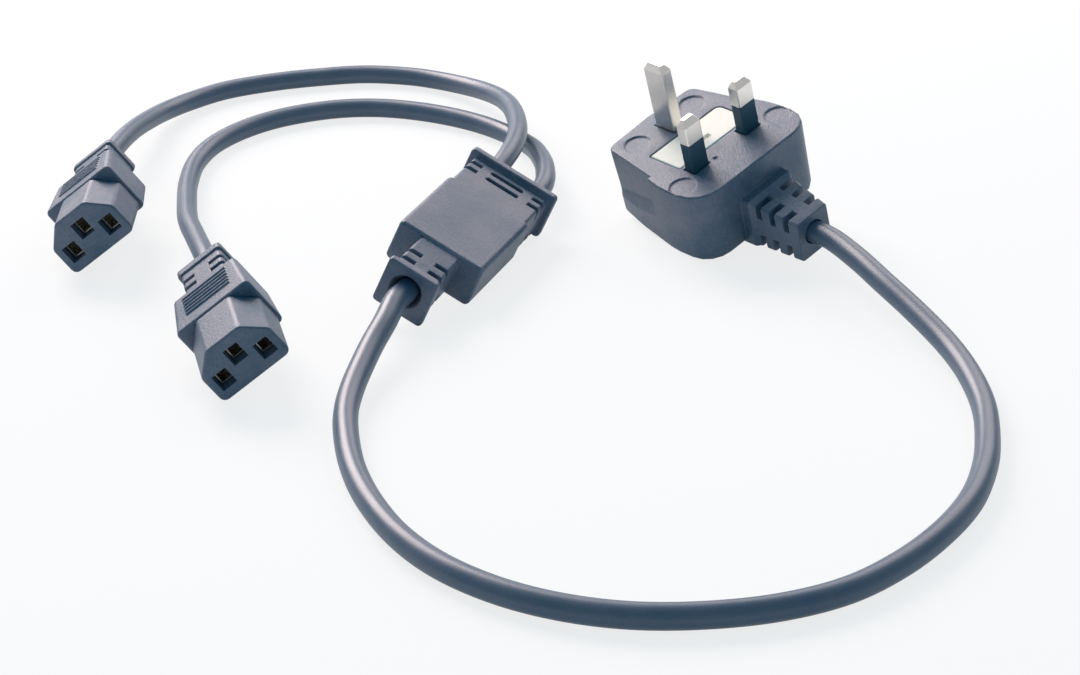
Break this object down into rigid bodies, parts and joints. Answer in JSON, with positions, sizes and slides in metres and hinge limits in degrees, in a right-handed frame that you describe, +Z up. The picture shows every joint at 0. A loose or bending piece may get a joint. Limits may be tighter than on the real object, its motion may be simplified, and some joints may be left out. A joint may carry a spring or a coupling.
{
  "type": "power cord splitter",
  "caption": "Moulded mains cord splitter: fused three-pin plug, Y-shaped splice block and appliance connectors on short branch cords.",
  "frame": {"origin": "on the table under the middle of the splitter block's box", "axes": "+Z up from the table, +Y along the splitter block from the main cord's end to the branch cords' end, +X to the right of that"},
  "size_m": [0.3149, 0.297, 0.0513],
  "materials": {
    "moulded_pvc": "satin, fine grained",
    "cord_jacket": "smooth satin",
    "cream_plastic": "smooth",
    "dark_nylon": "matt",
    "pin_metal": "satin nickel plate",
    "contact_brass": "bright",
    "fuse_ceramic": "glazed ceramic"
  },
  "bodies": {
    "cord_set": {"splitter_body": "moulded_pvc", "splice_tray": "dark_nylon", "splice_ferrule_live": "contact_brass", "splice_ferrule_earth": "contact_brass", "splice_ferrule_neutral": "contact_brass", "plug_body": "moulded_pvc", "plug_pin_bridge": "dark_nylon", "plug_live_pin": "pin_metal", "plug_neutral_pin": "pin_metal", "plug_earth_pin": "pin_metal", "plug_live_pin_sleeve": "dark_nylon", "plug_neutral_pin_sleeve": "dark_nylon", "fuse_contact_live_pin": "contact_brass", "fuse_contact_cord": "contact_brass", "connector_a_grip": "moulded_pvc", "connector_a_insert": "moulded_pvc", "connector_a_live_contact": "contact_brass", "connector_a_neutral_contact": "contact_brass", "connector_a_earth_contact": "contact_brass", "connector_b_grip": "moulded_pvc", "connector_b_insert": "moulded_pvc", "connector_b_live_contact": "contact_brass", "connector_b_neutral_contact": "contact_brass", "connector_b_earth_contact": "contact_brass", "main_cord": "cord_jacket", "branch_cord_a": "cord_jacket", "branch_cord_b": "cord_jacket"},
    "fuse_drawer": {"fuse_carrier": "cream_plastic", "fuse_barrel": "fuse_ceramic", "fuse_cap_live_side": "pin_metal", "fuse_cap_cord_side": "pin_metal"}
  },
  "joints": [
    {"name": "fuse_carrier_slide", "type": "slide", "parent": "cord_set", "child": "fuse_drawer", "axis": [-0.1175, -0.2567, 0.9593], "range_m": [0, 0.012]}
  ]
}
